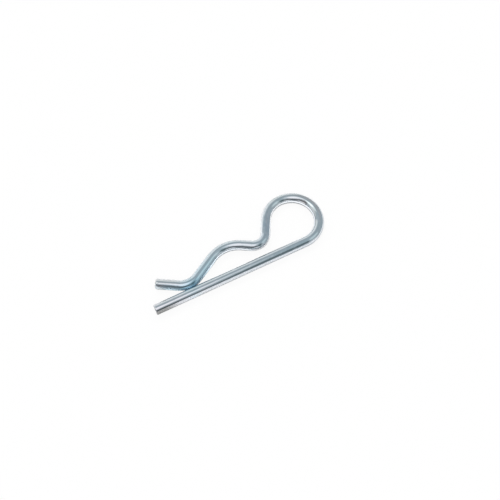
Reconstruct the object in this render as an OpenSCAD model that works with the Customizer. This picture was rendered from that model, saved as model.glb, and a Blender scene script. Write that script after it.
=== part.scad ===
// R clip (hairpin cotter) bent from one round wire, lying flat.
// The origin is where the axis of the held shaft crosses the axis of the straight leg.
// X runs along the straight leg towards the loop, Y points to the curved leg, Z is up.

/* [Wire] */
// Diameter of the wire
wire_d = 3.97; // [2.5:0.01:4.4]
// How much thinner the wire is where it is drawn round a bend
bend_thinning = 0.04; // [0.02:0.01:0.1]

/* [Straight leg] */
// From the shaft's axis to the cut end of the leg
leg_reach = 33.3; // [30:0.1:45]

/* [Loop] */
// Inside radius of the spring loop
loop_in_r = 8.4; // [6.5:0.1:11]
// Slope of the stretch that comes back from the loop to the neck
return_angle = 60.9; // [50:0.1:75]

/* [Neck] */
// Inside radius of the neck
neck_in_r = 3.15; // [2:0.05:5]
// Open gap between the neck and the straight leg
neck_gap = 3.1; // [1:0.1:4.5]
// Slope of the hump on its neck side
neck_slope = 30.4; // [24:0.1:40]

/* [Hump] */
// Diameter of the shaft that the hump sits on
shaft_d = 19.05; // [17:0.05:22]
// Gap between the shaft and the top of the hump
seat_clear = 0.01; // [0.01:0.01:0.5]
// How much wider the hump's inside radius is than the shaft's
hump_ease = 0.52; // [0.1:0.02:5]

/* [Pinch] */
// Inside radius of the pinch
pinch_in_r = 5.35; // [3:0.05:9]
// Gap left between the two legs at the pinch
pinch_gap = 0.05; // [0.05:0.05:1]
// Slope of the hump on its pinch side
pinch_slope = 30.5; // [24:0.1:40]

/* [Kick-out] */
// Straight length of the kicked-out end, its tip included
kick_length = 8.7; // [4:0.01:14]
// Angle between the kicked-out end and the straight leg
kick_angle = 30.95; // [15:0.05:50]

/* [Cut ends] */
// Rounding of the rim where the straight leg is cut
leg_end_round = 0.35; // [0.1:0.05:0.8]
// Rounding of the rim where the kick-out is cut
kick_end_round = 0.8; // [0.1:0.05:1]
// Depth of the step that the shear leaves across the middle of a cut end
shear_step = 0.25; // [0.05:0.01:0.4]
// Slope of the torn half, from the step out to the rim
shear_angle = 9; // [4:1:16]

/* [Hidden] */
$fn = 64;

wire_r = wire_d / 2;
// radii to the middle of the wire
loop_r = loop_in_r + wire_r;
neck_r = neck_in_r + wire_r;
hump_r = shaft_d / 2 + hump_ease + wire_r;
pinch_r = pinch_in_r + wire_r;

// heights of the middle of the wire above the middle of the straight leg
hump_top = shaft_d / 2 + seat_clear + wire_r;
neck_low = wire_d + neck_gap;
pinch_low = wire_d + pinch_gap;

// headings of the wire, counted from X, on each straight stretch after the leg
return_heading = 180 + return_angle;
neck_heading = 180 - neck_slope;
pinch_heading = 180 + pinch_slope;
kick_heading = 180 - kick_angle;

// length of a straight flank between the top of the hump and a low bend beside it
function flank(low, low_r, slope) =
    (hump_top - low - (hump_r + low_r) * (1 - cos(slope))) / sin(slope);
neck_flank = flank(neck_low, neck_r, neck_slope);
pinch_flank = flank(pinch_low, pinch_r, pinch_slope);

// length of the straight stretch from the loop to the neck
loop_exit_y = loop_r * (1 + cos(return_angle));
neck_entry_y = neck_low + neck_r * (1 - cos(return_angle));
return_flank = (loop_exit_y - neck_entry_y) / sin(return_angle);

// how far the middle of the loop lies past the shaft's axis
neck_x = (hump_r + neck_r) * sin(neck_slope) + neck_flank * cos(neck_slope);
loop_x = neck_x + (neck_r + loop_r) * sin(return_angle) + return_flank * cos(return_angle);

// a bend's ends are let into the straight wire by this much, which keeps the joint solid
lap = 0.1;

// Straight wire along X; what follows it starts at its end.
module straight(length) {
    rotate([0, 90, 0]) cylinder(d = wire_d, h = length);
    translate([length, 0, 0]) children();
}

// Wire bent to the left; what follows it starts at its end.
module left_bend(radius, angle) {
    lap_angle = lap / radius * 180 / PI;
    translate([0, radius, 0])
        rotate_extrude(start = -90 - lap_angle, angle = angle + 2 * lap_angle)
            translate([radius, 0]) circle(d = wire_d - bend_thinning);
    translate([0, radius, 0]) rotate([0, 0, angle]) translate([0, -radius, 0]) children();
}

// Wire bent to the right: the same, seen in a mirror.
module right_bend(radius, angle)
    mirror([0, 1, 0]) left_bend(radius, angle) mirror([0, 1, 0]) children();

// Cut end of the wire, as long as its rounded rim, with a shallow step torn across one half.
module cut_end(rim) {
    flat_r = wire_r - rim;
    difference() {
        rotate([0, 90, 0]) rotate_extrude() {
            square([flat_r, rim]);
            translate([flat_r, 0]) intersection() {
                circle(r = rim);
                square(rim);
            }
        }
        translate([rim - shear_step, 0, 0]) rotate([0, 0, shear_angle])
            translate([0, -wire_d, -wire_d]) cube([wire_d, wire_d, 2 * wire_d]);
    }
}

// The whole clip, followed along its wire from the cut end of the straight leg.
module r_clip()
    color("#aab4bb")
    translate([-leg_reach, 0, 0]) {
        translate([leg_end_round, 0, 0]) mirror([1, 0, 0]) cut_end(leg_end_round);
        translate([leg_end_round, 0, 0])
            straight(leg_reach + loop_x - leg_end_round)
            left_bend(loop_r, return_heading)
            straight(return_flank)
            right_bend(neck_r, return_heading - neck_heading)
            straight(neck_flank)
            left_bend(hump_r, pinch_heading - neck_heading)
            straight(pinch_flank)
            right_bend(pinch_r, pinch_heading - kick_heading)
            straight(kick_length - kick_end_round)
            cut_end(kick_end_round);
    }

r_clip();
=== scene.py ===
import math

import bpy
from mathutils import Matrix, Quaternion, Vector


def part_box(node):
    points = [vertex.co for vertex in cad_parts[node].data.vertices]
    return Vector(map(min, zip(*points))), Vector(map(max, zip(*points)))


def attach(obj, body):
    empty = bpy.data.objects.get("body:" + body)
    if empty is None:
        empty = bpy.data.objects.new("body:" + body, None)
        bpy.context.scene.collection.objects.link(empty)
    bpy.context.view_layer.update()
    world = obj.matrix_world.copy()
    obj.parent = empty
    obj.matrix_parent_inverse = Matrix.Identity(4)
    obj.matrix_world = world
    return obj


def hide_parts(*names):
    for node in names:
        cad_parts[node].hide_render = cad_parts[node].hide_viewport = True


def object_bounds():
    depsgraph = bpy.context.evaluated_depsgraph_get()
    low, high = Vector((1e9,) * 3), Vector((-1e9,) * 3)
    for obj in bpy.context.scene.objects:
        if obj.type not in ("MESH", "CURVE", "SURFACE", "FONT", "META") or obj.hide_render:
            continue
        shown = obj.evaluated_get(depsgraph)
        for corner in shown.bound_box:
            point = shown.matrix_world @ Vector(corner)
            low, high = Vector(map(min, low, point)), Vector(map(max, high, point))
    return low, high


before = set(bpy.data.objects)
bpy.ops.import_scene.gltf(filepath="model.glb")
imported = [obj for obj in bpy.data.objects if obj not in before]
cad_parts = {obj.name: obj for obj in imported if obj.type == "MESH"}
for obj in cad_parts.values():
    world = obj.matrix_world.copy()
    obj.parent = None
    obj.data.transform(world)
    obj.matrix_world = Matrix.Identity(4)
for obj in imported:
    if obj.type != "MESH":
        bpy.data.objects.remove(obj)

cadLow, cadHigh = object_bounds()
mm = 0.001
tolerance = 1e-7             # metres, within which two places are the same
plainWhite = (1, 1, 1, 1)


# sizes of the clip in millimetres and degrees, the same as the solid's
clip = {
    "loopInside": 8.4,       # radius
    "returnAngle": 60.9,
    "neckInside": 3.15,      # radius
    "neckGap": 3.1,
    "neckSlope": 30.4,
    "shaftRadius": 9.525,
    "seatClear": 0.01,
    "humpEase": 0.52,
    "pinchInside": 5.35,     # radius
    "pinchGap": 0.05,
    "pinchSlope": 30.5,
    "kickLength": 8.7,
    "kickAngle": 30.95,
    "bendThinning": 0.02,    # off the radius
    "legRim": 0.35,          # rounding of the rim where the straight leg is cut
    "kickRim": 0.8,          # and where the kick-out is cut
    "shearStep": 0.25,       # depth of the step across the middle of a cut
    "shearAngle": 9,         # slope of its torn half, out from the step
    "shearReach": 3,         # from the middle of a cut; what lies farther isn't on its face
    "ringSides": 64,         # faces round the wire
    "stepLength": 0.4,       # longest face along it
    "easeLength": 1.6,       # over which the wire gets thinner at a bend
    "easeSteps": 4,
    "rimSteps": 7,
    "smoothAngle": 35,       # edges with a sharper turn stay sharp
}


def sin(degrees):
    return math.sin(math.radians(degrees))


def cos(degrees):
    return math.cos(math.radians(degrees))


# which way the wire runs at a heading, and which way is to its left
def wireAxes(heading):
    return Vector((cos(heading), sin(heading), 0)), Vector((-sin(heading), cos(heading), 0))


# the wire's route: a list of straights and bends, each with where it starts
def planRoute(low, high):
    wire = high.z / mm
    reach = -low.x / mm
    loop = clip["loopInside"] + wire
    neck = clip["neckInside"] + wire
    hump = clip["shaftRadius"] + clip["humpEase"] + wire
    pinch = clip["pinchInside"] + wire
    humpTop = clip["shaftRadius"] + clip["seatClear"] + wire
    neckLow = 2 * wire + clip["neckGap"]
    pinchLow = 2 * wire + clip["pinchGap"]
    back, neckUp, pinchUp = clip["returnAngle"], clip["neckSlope"], clip["pinchSlope"]

    def flank(low, radius, slope):
        return (humpTop - low - (hump + radius) * (1 - cos(slope))) / sin(slope)

    neckFlank = flank(neckLow, neck, neckUp)
    pinchFlank = flank(pinchLow, pinch, pinchUp)
    returnFlank = (loop * (1 + cos(back)) - neckLow - neck * (1 - cos(back))) / sin(back)
    neckX = (hump + neck) * sin(neckUp) + neckFlank * cos(neckUp)
    loopX = neckX + (neck + loop) * sin(back) + returnFlank * cos(back)
    turns = [
        ("straight", reach + loopX - clip["legRim"], 0),
        ("bend", loop, 180 + back),
        ("straight", returnFlank, 0),
        ("bend", neck, -(back + neckUp)),
        ("straight", neckFlank, 0),
        ("bend", hump, neckUp + pinchUp),
        ("straight", pinchFlank, 0),
        ("bend", pinch, -(pinchUp + clip["kickAngle"])),
        ("straight", clip["kickLength"] - clip["kickRim"], 0),
    ]
    route = []
    place = Vector((clip["legRim"] - reach, 0, 0))
    heading = 0.0
    along = clip["legRim"]
    for kind, size, turn in turns:
        forward, left = wireAxes(heading)
        stretch = {"kind": kind, "start": place, "forward": forward, "left": left, "along": along}
        if kind == "straight":
            stretch["length"] = size
            place = place + forward * size
        else:
            turned = math.radians(turn)
            side = math.copysign(1, turned)
            centre = place + left * side * size
            stretch.update(radius=size, turn=turned, side=side, centre=centre, length=abs(turned) * size)
            heading += turn
            place = centre - wireAxes(heading)[1] * side * size
        along += stretch["length"]
        route.append(stretch)
    forward, left = wireAxes(heading)
    end = {"start": place, "forward": forward, "left": left, "along": along}
    return wire, route, end


def extrude(step):
    bpy.ops.mesh.extrude_region_move(TRANSFORM_OT_translate={"value": step * mm})


def resize(factor, centre):
    bpy.ops.transform.resize(value=(factor,) * 3, center_override=centre * mm)


# a short length over which the wire goes smoothly from one radius to another
def easeRadius(place, forward, fromRadius, toRadius):
    steps = clip["easeSteps"]
    radius = fromRadius
    for step in range(1, steps + 1):
        place = place + forward * clip["easeLength"] / steps
        nextRadius = fromRadius + (toRadius - fromRadius) * (1 - cos(180 * step / steps)) / 2
        extrude(forward * clip["easeLength"] / steps)
        resize(nextRadius / radius, place)
        radius = nextRadius
    return place


# a straight: thick in the middle, a touch thinner where a bend follows or went before
def runStraight(stretch, wire, thinBefore, thinAfter):
    place, forward, length = stretch["start"], stretch["forward"], stretch["length"]
    thin = wire - clip["bendThinning"]
    if thinBefore:
        place = easeRadius(place, forward, thin, wire)
        length -= clip["easeLength"]
    if thinAfter:
        length -= clip["easeLength"]
    steps = math.ceil(length / clip["stepLength"])
    for step in range(steps):
        extrude(forward * length / steps)
    if thinAfter:
        easeRadius(place + forward * length, forward, wire, thin)


def runBend(stretch):
    steps = math.ceil(stretch["length"] / clip["stepLength"])
    bpy.ops.mesh.spin(steps=steps, angle=-stretch["turn"], center=stretch["centre"] * mm,
                      axis=(0, 0, 1))


# a cut end: a rounded rim, closed by a fine grid that the shear's marks are pressed into
def closeEnd(start, forward, wire, rim):
    place, radius = start, wire
    for step in range(1, clip["rimSteps"] + 1):
        turn = 90 * step / clip["rimSteps"]
        nextPlace = start + forward * rim * sin(turn)
        nextRadius = wire - rim + rim * cos(turn)
        extrude(nextPlace - place)
        resize(nextRadius / radius, nextPlace)
        place, radius = nextPlace, nextRadius
    bpy.ops.mesh.fill_grid(span=clip["ringSides"] // 4)
    bpy.ops.mesh.subdivide(number_cuts=1)


# one half of a cut end tears away a little deeper than the half that the blade sheared
def pressShearMark(mesh, start, forward, left, rim):
    slope = math.tan(math.radians(clip["shearAngle"]))
    for vertex in mesh.vertices:
        offset = vertex.co / mm - start
        out = offset.dot(forward)
        across = offset.dot(left)
        deepest = rim - clip["shearStep"] - across * slope
        if offset.length < clip["shearReach"] and across <= 0 and out > deepest:
            vertex.co += forward * (deepest - out) * mm


# where a point would lie on the wire before it was bent: along it, to its left, and above its middle
def unbend(point, wire, route):
    halfTurnPast = -0.5      # radians; an angle below this is one past half a turn, as in the loop
    best = None
    for index, stretch in enumerate(route):
        first, last = index == 0, index == len(route) - 1
        if stretch["kind"] == "straight":
            offset = point - stretch["start"]
            run = offset.dot(stretch["forward"])
            across = offset.dot(stretch["left"])
        else:
            offset = point - stretch["centre"]
            side = stretch["side"]
            fromStart = -stretch["left"] * side
            turned = math.atan2(fromStart.cross(offset).z * side, fromStart.dot(offset))
            if turned < halfTurnPast:
                turned += math.tau
            run = turned * stretch["radius"]
            across = side * (stretch["radius"] - offset.xy.length)
        outside = 0
        if run < 0 and not first:
            outside = -run
        if run > stretch["length"] and not last:
            outside = run - stretch["length"]
        error = outside + max(0, math.hypot(across, point.z) - wire)
        if best is None or error < best[0]:
            best = (error, stretch["along"] + run, across, point.z)
    return best[1:]


def bendWire(wire, route, end):
    first = route[0]
    bpy.ops.object.select_all(action="DESELECT")
    bpy.ops.mesh.primitive_circle_add(vertices=clip["ringSides"], radius=wire * mm,
                                      location=first["start"] * mm, rotation=(0, math.pi / 2, 0))
    piece = bpy.context.object
    piece.name = "clip_wire"
    bpy.ops.object.transform_apply(location=True, rotation=True, scale=True)
    bpy.ops.object.mode_set(mode="EDIT")
    bpy.ops.mesh.select_mode(type="VERT")
    bpy.ops.mesh.select_all(action="SELECT")
    for index, stretch in enumerate(route):
        if stretch["kind"] == "straight":
            runStraight(stretch, wire, index > 0, index < len(route) - 1)
        else:
            runBend(stretch)
    closeEnd(end["start"], end["forward"], wire, clip["kickRim"])
    bpy.ops.mesh.select_all(action="DESELECT")
    bpy.ops.object.mode_set(mode="OBJECT")
    for vertex in piece.data.vertices:       # the ring that the wire started from
        beyondRing = abs(vertex.co.x - first["start"].x * mm)
        vertex.select = beyondRing < tolerance and abs(vertex.co.y) < wire * mm + tolerance
    bpy.ops.object.mode_set(mode="EDIT")
    closeEnd(first["start"], -first["forward"], wire, clip["legRim"])
    bpy.ops.mesh.select_all(action="SELECT")
    bpy.ops.mesh.remove_doubles(threshold=tolerance)
    bpy.ops.mesh.normals_make_consistent(inside=False)
    bpy.ops.object.mode_set(mode="OBJECT")
    pressShearMark(piece.data, first["start"], -first["forward"], first["left"], clip["legRim"])
    pressShearMark(piece.data, end["start"], end["forward"], end["left"], clip["kickRim"])
    unbent = piece.data.attributes.new("unbent", "FLOAT_VECTOR", "POINT")
    places = [size for vertex in piece.data.vertices for size in unbend(vertex.co / mm, wire, route)]
    unbent.data.foreach_set("vector", places)
    bpy.ops.object.shade_smooth_by_angle(angle=math.radians(clip["smoothAngle"]))
    print("wire bent:", len(piece.data.polygons), "faces")
    return piece


# a socket in a node tree; arithmetic on it adds Math nodes
class Value:
    def __init__(self, tree, socket=None):
        self.tree = tree
        self.socket = socket

    def node(self, kind, settings, inputs, output=0):
        made = self.tree.nodes.new(kind)
        for name, setting in settings.items():
            if name == "stops":
                ramp = made.color_ramp
                while len(ramp.elements) < len(setting):
                    ramp.elements.new(1)
                for element, (position, colour) in zip(ramp.elements, setting):
                    element.position = position
                    element.color = (*colour, 1)
            else:
                setattr(made, name, setting)
        for name, given in inputs.items():
            if isinstance(given, Value):
                self.tree.links.new(given.socket, made.inputs[name])
            else:
                made.inputs[name].default_value = given
        return Value(self.tree, made.outputs[output] if made.outputs else None)

    def math(self, operation, first, second=0.0):
        return self.node("ShaderNodeMath", {"operation": operation}, {0: first, 1: second})

    def __add__(self, other):
        return self.math("ADD", self, other)

    def __radd__(self, other):
        return self.math("ADD", other, self)

    def __sub__(self, other):
        return self.math("SUBTRACT", self, other)

    def __rsub__(self, other):
        return self.math("SUBTRACT", other, self)

    def __mul__(self, other):
        return self.math("MULTIPLY", self, other)

    def __rmul__(self, other):
        return self.math("MULTIPLY", other, self)

    def __truediv__(self, other):
        return self.math("DIVIDE", self, other)

    def rise(self, start, full):
        return self.node("ShaderNodeMapRange", {"interpolation_type": "SMOOTHSTEP"},
                         {"Value": self, "From Min": start, "From Max": full})

    def blend(self, factor, first, second, how="MIX"):
        return self.node("ShaderNodeMix", {"data_type": "RGBA", "blend_type": how},
                         {0: factor, 6: first, 7: second}, 2)

    def scaled(self, factors):
        return self.node("ShaderNodeVectorMath", {"operation": "MULTIPLY"}, {0: self, 1: factors})

    def length(self):
        return self.node("ShaderNodeVectorMath", {"operation": "LENGTH"}, {0: self}, "Value")

    def noise(self, detail, roughness):
        return self.node("ShaderNodeTexNoise", {}, {"Vector": self, "Scale": 1.0, "Detail": detail,
                                                    "Roughness": roughness})

    # this vector as seen from the middle of an oval, whose edge is then 1 away
    def within(self, middle, halfLength, halfWidth, turn=0.0):
        return self.node("ShaderNodeMapping", {"vector_type": "TEXTURE"},
                         {"Vector": self, "Location": (*middle, 0),
                          "Rotation": (0, 0, math.radians(turn)), "Scale": (halfLength, halfWidth, 1)})


# an empty node tree for a material or a world
def startNodes(owner):
    owner.use_nodes = True
    owner.node_tree.nodes.clear()
    return Value(owner.node_tree)


zinc = {
    # the plate's own tone along the wire, with painted reflection in the bluer stops at 0.88 and 0.92, by
    # the pinch
    "tints": [                               # along the wire, from the straight leg's cut end
        (0.00, (0.64, 0.64, 0.67)),
        (0.14, (0.62, 0.65, 0.68)),
        (0.38, (0.61, 0.65, 0.69)),
        (0.60, (0.63, 0.66, 0.68)),
        (0.67, (0.54, 0.59, 0.66)),
        (0.75, (0.62, 0.66, 0.69)),
        (0.83, (0.62, 0.67, 0.71)),
        (0.88, (0.61, 0.70, 0.76)),
        (0.92, (0.58, 0.65, 0.71)),
        (0.96, (0.64, 0.65, 0.67)),
        (1.00, (0.65, 0.65, 0.66)),
    ],
    "roughness": 0.085,
    "rim": (0.78, 0.80, 0.80, 1),            # how much is left of what it mirrors at a glancing angle
    # noise in the plate: how fine it is along and across the wire, its detail and roughness, between which
    # values it comes up, how much it covers the tint with its colour, and how much it dulls the mirror
    "patches": {"fineness": (0.35, 0.6, 0.6), "noise": (3.0, 0.6), "comesUp": (0.42, 0.62), "cover": 0.35,
                "colour": (0.78, 0.77, 0.82, 1), "dulls": (0.50, 0.70), "dullness": 0.07},
    "speckle": {"fineness": (5.0, 7.0, 7.0), "noise": (2.0, 0.6), "comesUp": (0.50, 0.66), "cover": 0.34,
                "colour": (0.45, 0.52, 0.58, 1), "dulls": (0.55, 0.75), "dullness": 0.08},
    "lines": {"fineness": (0.04, 2.6, 2.6), "noise": (4.0, 0.65), "comesUp": (0.50, 0.68), "cover": 0.26,
              "colour": (0.40, 0.43, 0.47, 1), "dulls": (0.45, 0.75), "dullness": 0.08},
    "waves": {"fineness": (0.16, 0.5, 0.5), "noise": (1.0, 0.5)},
    # shades of the plate, each from where it starts to where it is full: "starts", "ends" and "tip" are
    # shares of the wire's length, "sides" is the square of millimetres, and the rest are millimetres
    # painted reflection: bluer where the legs meet, standing in for each leg mirrored in the other
    "paintedLegReflection": {"fade": (1.8, 5.4), "colour": (0.86, 0.96, 0.98, 1)},    # bluer where the legs meet
    # painted reflection: bluer on the near side of the hump and kick-out, standing in for the blue they
    # mirror
    "paintedBlueReflection": {"starts": (0.80, 0.95), "tip": (0.97, 0.99), "lostAtTip": 0.6, "left": (0.0, 1.6),
              "colour": (0.76, 0.97, 1.05, 1)},                       # bluer under hump and kick-out
    # painted reflection: paler blue on all but the top of the wire where the legs meet, standing in for
    # the leg's bright strip mirrored there
    "gap": {"up": (0.6, 1.4), "cover": 0.85, "colour": (0.72, 0.84, 0.92, 1)},      # where the legs meet only
    # painted shade: darker on the near side of the straight leg's end, standing in for the floor's shadow
    # beside it
    "paintedLegEndShade": {"fromCut": (3.0, 11.0), "left": (-1.7, -0.7), "cover": 0.7,
             "colour": (0.12, 0.12, 0.10, 1)},                        # at the straight leg's end
    # painted reflection: both edges paler along the stretch before the neck, standing in for the bright
    # floor they mirror
    "paintedSideReflection": {"starts": (0.60, 0.64), "ends": (0.70, 0.74), "sides": (0.8, 3.6), "cover": 0.8,
             "colour": (0.94, 0.95, 0.96, 1)},                        # brighter before the neck
    # painted shade: the lower half of the wire darker, except where the legs meet, standing in for the
    # floor's shadow that it mirrors
    "paintedUnderShade": {"up": (-0.6, 0.1), "cover": 0.45, "colour": (0.30, 0.31, 0.31, 1)},
    # cut ends: how much their colour covers the tint, and how much more where their noise is high
    "cutFace": {"insideRim": (0.3, 0.1), "dullness": 0.12},
    "sheared": {"fineness": (0.5, 0.5, 8.0), "noise": (2.0, 0.5), "cover": 0.5, "marks": 0.5,
                "colour": (0.50, 0.51, 0.53, 1)},
    "torn": {"fineness": (5.0, 5.0, 5.0), "noise": (3.0, 0.7), "cover": 0.4, "marks": 1.0,
             "left": (-0.1, 0.1), "dullness": 0.5, "colour": (0.26, 0.26, 0.28, 1)},
    # how high each noise stands
    "relief": {"lines": 1.3, "speckle": 0.4, "waves": 6.0, "sheared": 4.0, "torn": 9.0},
    "bumpStrength": 0.35,
    "bumpHeight": 0.00001,                   # metres
}


def zincMaterial(wire, wireLength, meeting):
    material = bpy.data.materials.new("zinc_wire")
    paint = startNodes(material)
    place = paint.node("ShaderNodeAttribute", {"attribute_name": "unbent"}, {}, "Vector")
    along, left, up = (paint.node("ShaderNodeSeparateXYZ", {}, {0: place}, axis) for axis in "XYZ")
    part = along / wireLength
    body = paint.node("ShaderNodeTexCoord", {}, {}, "Object")
    toMeeting = paint.node("ShaderNodeVectorMath", {"operation": "DISTANCE"},
                           {0: body, 1: meeting}, "Value") / mm

    def noiseOf(name):
        return place.scaled(zinc[name]["fineness"]).noise(*zinc[name]["noise"])

    def rise(value, name, span):
        return value.rise(*zinc[name][span])

    noises = {name: noiseOf(name) for name in ("patches", "speckle", "lines", "waves")}
    drag, grain = noiseOf("sheared"), noiseOf("torn")

    # where each shade lies, from 0 to 1
    # painted reflection of each leg in the other, fading with distance from where they meet
    paintedLegReflection = 1 - rise(toMeeting, "paintedLegReflection", "fade")
    # painted reflection on the near side of the hump and kick-out, less of it at the tip
    fewerAtTip = 1 - rise(part, "paintedBlueReflection", "tip") * zinc["paintedBlueReflection"]["lostAtTip"]
    paintedBlueReflection = rise(left, "paintedBlueReflection", "left") * rise(part, "paintedBlueReflection", "starts") * fewerAtTip
    # painted reflection in the gap where the legs meet, on all but the top of the wire
    gap = paintedLegReflection * (1 - rise(up, "gap", "up"))
    # painted shade on the near side of the straight leg's end
    paintedLegEndShade = (1 - rise(along, "paintedLegEndShade", "fromCut")) * (1 - rise(left, "paintedLegEndShade", "left"))
    # painted reflection on both edges of the wire before the neck
    beforeNeck = rise(part, "paintedSideReflection", "starts") * (1 - rise(part, "paintedSideReflection", "ends"))
    paintedSideReflection = rise(left * left, "paintedSideReflection", "sides") * beforeNeck
    # painted shade on the lower half of the wire
    paintedUnderShade = (1 - rise(up, "paintedUnderShade", "up")) * (1 - paintedLegReflection)
    cutStart, cutFull = (wire - inside for inside in zinc["cutFace"]["insideRim"])
    cutFace = 1 - paint.math("SQRT", left * left + up * up).rise(cutStart, cutFull)
    torn = cutFace * (1 - rise(left, "torn", "left"))
    sheared = cutFace - torn

    def lay(tint, name, where):
        return paint.blend(where * zinc[name]["cover"], tint, zinc[name]["colour"])

    def layMarks(tint, name, where, noise):
        cover = zinc[name]["cover"] + noise * zinc[name]["marks"]
        return paint.blend(where * cover, tint, zinc[name]["colour"])

    tint = paint.node("ShaderNodeValToRGB", {"stops": zinc["tints"]}, {"Fac": part})
    tint = lay(tint, "patches", rise(noises["patches"], "patches", "comesUp"))
    tint = lay(tint, "speckle", rise(noises["speckle"], "speckle", "comesUp"))
    # painted reflection where the legs meet
    tint = paint.blend(paintedLegReflection, tint, zinc["paintedLegReflection"]["colour"], "MULTIPLY")
    # painted reflection on the near side of the hump and kick-out
    tint = paint.blend(paintedBlueReflection, tint, zinc["paintedBlueReflection"]["colour"], "MULTIPLY")
    # painted reflection in the gap where the legs meet
    tint = lay(tint, "gap", gap)
    # painted shade on the near side of the straight leg's end
    tint = lay(tint, "paintedLegEndShade", paintedLegEndShade)
    # painted reflection on both edges of the wire before the neck
    tint = lay(tint, "paintedSideReflection", paintedSideReflection)
    tint = lay(tint, "lines", rise(noises["lines"], "lines", "comesUp"))
    # painted shade on the lower half of the wire
    tint = lay(tint, "paintedUnderShade", paintedUnderShade)
    tint = layMarks(tint, "sheared", sheared, drag)
    tint = layMarks(tint, "torn", torn, grain)

    roughness = zinc["roughness"] + cutFace * zinc["cutFace"]["dullness"]
    roughness = roughness + torn * grain * zinc["torn"]["dullness"]
    for name in ("patches", "speckle", "lines"):
        roughness = roughness + rise(noises[name], name, "dulls") * zinc[name]["dullness"]
    noises.update(sheared=sheared * drag, torn=torn * grain)
    relief = sum(noises[name] * height for name, height in zinc["relief"].items())
    normal = paint.node("ShaderNodeBump", {}, {"Strength": zinc["bumpStrength"],
                                               "Distance": zinc["bumpHeight"], "Height": relief})
    surface = paint.node("ShaderNodeBsdfPrincipled", {},
                         {"Base Color": tint, "Metallic": 1.0, "Specular Tint": zinc["rim"],
                          "Roughness": roughness, "Normal": normal})
    paint.node("ShaderNodeOutputMaterial", {}, {"Surface": surface})
    print("zinc plate painted")
    return material


studio = {
    "floorSize": 3.0,
    "floorColour": (0.889, 0.880, 0.878, 1),
    "floorGlow": 0.05,       # on top of the light that falls on it
    "wash": 0.94,            # how much of its shadow is washed out by white for the camera
    "white": 0.988,          # how bright that white is
    # light that the wire throws back onto the floor, as the metal sees it, in ovals with soft edges:
    # middle, half length and half width in millimetres, then brightness
    "thrownBack": {
        "inLoop": ((31.0, 10.4), 5.0, 5.0, 0.58),
        "underHump": ((0.0, 4.3), 11.5, 2.8, 0.58),
        "underKick": ((-24.5, 3.4), 4.5, 2.4, 0.35),
    },
    "ovalFade": (0.5, 1.2),  # where an oval's light starts to fade and is gone, against its size
}


# a white floor with the clip's shadow; from below it can't be seen
def floorMaterial():
    material = bpy.data.materials.new("studio_floor")
    paint = startNodes(material)
    seen = paint.node("ShaderNodeLightPath", {}, {}, "Is Camera Ray")
    mirrored = paint.node("ShaderNodeLightPath", {}, {}, "Is Glossy Ray")
    through = paint.node("ShaderNodeLightPath", {}, {}, "Is Transmission Ray")
    looked = paint.math("MINIMUM", seen + mirrored + through, 1.0)
    place = paint.node("ShaderNodeTexCoord", {}, {}, "Object").scaled((1 / mm, 1 / mm, 1 / mm))
    thrown = 0
    for middle, halfLength, halfWidth, brightness in studio["thrownBack"].values():
        fade = place.within(middle, halfLength, halfWidth).length().rise(*studio["ovalFade"])
        thrown = thrown + (1 - fade) * brightness
    strength = thrown * (looked - seen) + looked * studio["floorGlow"]
    glow = paint.node("ShaderNodeEmission", {}, {"Color": plainWhite, "Strength": strength})
    matt = paint.node("ShaderNodeBsdfDiffuse", {}, {"Color": studio["floorColour"]})
    lit = paint.node("ShaderNodeAddShader", {}, {0: glow, 1: matt})
    white = paint.node("ShaderNodeEmission", {}, {"Color": plainWhite, "Strength": studio["white"]})
    washed = paint.node("ShaderNodeMixShader", {}, {0: seen * studio["wash"], 1: lit, 2: white})
    clear = paint.node("ShaderNodeBsdfTransparent", {}, {})
    below = paint.node("ShaderNodeNewGeometry", {}, {}, "Backfacing")
    surface = paint.node("ShaderNodeMixShader", {}, {0: below, 1: washed, 2: clear})
    paint.node("ShaderNodeOutputMaterial", {}, {"Surface": surface})
    return material


def layFloor(height):
    bpy.ops.object.select_all(action="DESELECT")
    bpy.ops.mesh.primitive_plane_add(size=studio["floorSize"], location=(0, 0, height))
    floor = bpy.context.object
    floor.name = "studio_floor"
    floor.data.materials.append(floorMaterial())
    print("floor laid")


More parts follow.
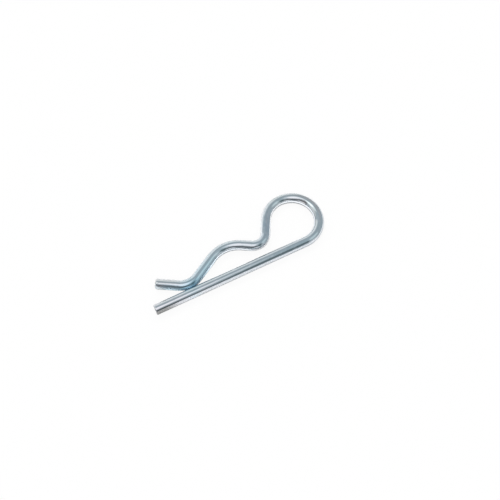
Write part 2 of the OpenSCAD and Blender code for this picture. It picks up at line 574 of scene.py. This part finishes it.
# the room that the metal mirrors, seen from the clip as a disc with the ceiling in the middle:
# x runs east, towards the loop, and y north
room = {
    "walls": (0.52, (0.86, 1.00, 1.06)),
    "softness": 0.24,         # of the edges of what is in the room, against its size
    # middle, half length, half width, turn in degrees, brightness, colour; each lies over those before it
    "things": {
        "northWall": ((0.00, 1.25), 1.30, 0.52, 0, 1.00, (0.96, 1.01, 1.00)),
        "eastCurtain": ((0.62, 0.50), 0.30, 0.25, 0, 0.50, (0.98, 1.00, 1.02)),
        "northBeam": ((-0.27, 0.65), 0.32, 0.09, -28, 0.56, (0.86, 1.00, 1.05)),
        "westWall": ((-0.82, 0.42), 0.38, 0.24, 60, 0.76, (0.96, 1.02, 1.00)),
        "westStrip": ((-0.96, 0.40), 0.36, 0.10, 68, 0.95, (0.99, 1.01, 1.00)),
        "westShade": ((-0.50, 0.00), 0.42, 0.16, 10, 0.80, (0.97, 1.00, 1.01)),
        "westDark": ((-0.72, -0.15), 0.29, 0.13, 18, 0.31, (0.96, 1.00, 1.02)),
        "westCard": ((-0.95, -0.44), 0.22, 0.12, -75, 1.10, (1.06, 1.00, 0.98)),
        "cornerCard": ((-0.71, -0.74), 0.32, 0.08, -47, 1.00, (1.00, 1.00, 1.00)),
        "lampGlow": ((-0.41, 0.32), 0.35, 0.17, 8, 1.05, (0.97, 1.02, 1.00)),
        "lamp": ((-0.39, 0.20), 0.29, 0.14, 14, 1.62, (0.97, 1.02, 1.00)),
        "panelShade": ((0.11, -0.12), 0.31, 0.13, 88, 0.84, (0.90, 0.99, 1.02)),
        "panel": ((-0.11, -0.22), 0.42, 0.21, 74, 1.28, (1.00, 0.99, 1.01)),
        "eastLight": ((0.51, -0.33), 0.36, 0.18, -64, 0.83, (0.87, 1.02, 1.04)),
        "eastEdge": ((0.30, -0.10), 0.55, 0.08, 88, 0.54, (0.80, 0.98, 1.05)),
        "darkWest": ((-0.66, -0.37), 0.32, 0.15, -48, 0.20, (1.06, 0.98, 1.00)),
        "darkSouth": ((-0.24, -0.775), 0.46, 0.16, -12, 0.19, (0.92, 0.98, 1.04)),
        "darkEast": ((0.26, -0.70), 0.22, 0.13, 80, 0.21, (0.76, 0.98, 1.04)),
        "eastShade": ((0.70, -0.54), 0.16, 0.07, 52, 0.50, (0.86, 1.00, 1.04)),
        "southStrip": ((-0.05, -1.02), 0.52, 0.08, -3, 1.15, (0.98, 1.00, 1.02)),
        "eastStrip": ((0.52, -0.89), 0.36, 0.07, 30, 0.90, (0.96, 1.00, 1.02)),
    },
}


# what lights the floor: two lamps, so that the shadows fall beside the straight leg
floorLight = {
    "walls": (0.60, (1, 1, 1)),
    "softness": 0.24,
    "things": {
        "northLamp": ((0.00, 0.50), 0.60, 0.22, 0, 4.0, (1, 1, 1)),
        "southLamp": ((0.00, -0.50), 0.60, 0.22, 0, 2.4, (1, 1, 1)),
    },
}


def lightRoom():
    world = bpy.data.worlds.new("studio")
    bpy.context.scene.world = world
    paint = startNodes(world)
    disc = paint.node("ShaderNodeTexCoord", {}, {}, "Generated").scaled((1, 1, 0))

    def shine(brightness, colour):
        return (*(brightness * channel for channel in colour), 1)

    def furnish(walls, softness, things):
        light = shine(*walls)
        for middle, halfLength, halfWidth, turn, brightness, colour in things.values():
            reach = disc.within(middle, halfLength, halfWidth, turn).length()
            inside = 1 - reach.rise(1 - softness, 1 + softness)
            light = paint.blend(inside, light, shine(brightness, colour))
        return light

    seen = paint.node("ShaderNodeLightPath", {}, {}, "Is Camera Ray")
    matt = paint.node("ShaderNodeLightPath", {}, {}, "Is Diffuse Ray")
    light = paint.blend(matt, furnish(**room), furnish(**floorLight))
    shown = paint.blend(seen, light, plainWhite)
    glow = paint.node("ShaderNodeBackground", {}, {"Color": shown, "Strength": 1.0})
    paint.node("ShaderNodeOutputWorld", {}, {"Surface": glow})
    print("room lit")


view = {
    "target": (8.38, 6.39, 0.0),      # millimetres, what the middle of the picture looks at
    "side": 26.458,                   # degrees from the clip's front towards its free ends
    "rise": 63.2,
    "roll": -0.209,
    "distance": 221.47,
    "lens": 41.785,
    "sensor": 36.0,
    "nearest": 5.0,                   # millimetres, what is nearer isn't seen
}


def placeCamera():
    side, rise = view["side"], view["rise"]
    back = Vector((-sin(side) * cos(rise), -cos(side) * cos(rise), sin(rise)))
    target = Vector(view["target"]) * mm
    bpy.ops.object.camera_add(location=target + back * view["distance"] * mm)
    camera = bpy.context.object
    camera.rotation_mode = "QUATERNION"
    facing = (-back).to_track_quat("-Z", "Y")
    camera.rotation_quaternion = facing @ Quaternion((0, 0, 1), math.radians(view["roll"]))
    camera.data.lens = view["lens"]
    camera.data.sensor_width = view["sensor"]
    camera.data.clip_start = view["nearest"] * mm
    bpy.context.scene.camera = camera
    print("camera placed")


wire, route, end = planRoute(*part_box("r_clip"))
wireLength = end["along"] + clip["kickRim"]
pinch = route[-2]
meeting = (pinch["centre"].x * mm, wire * mm, 0)      # where the legs come together
print("wire", round(wireLength, 1), "mm long")

wirePiece = bendWire(wire, route, end)
wirePiece.data.materials.append(zincMaterial(wire, wireLength, meeting))
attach(wirePiece, "root")
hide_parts("r_clip")
placeCamera()
layFloor(cadLow.z)
lightRoom()
bpy.context.scene.view_settings.view_transform = "Standard"
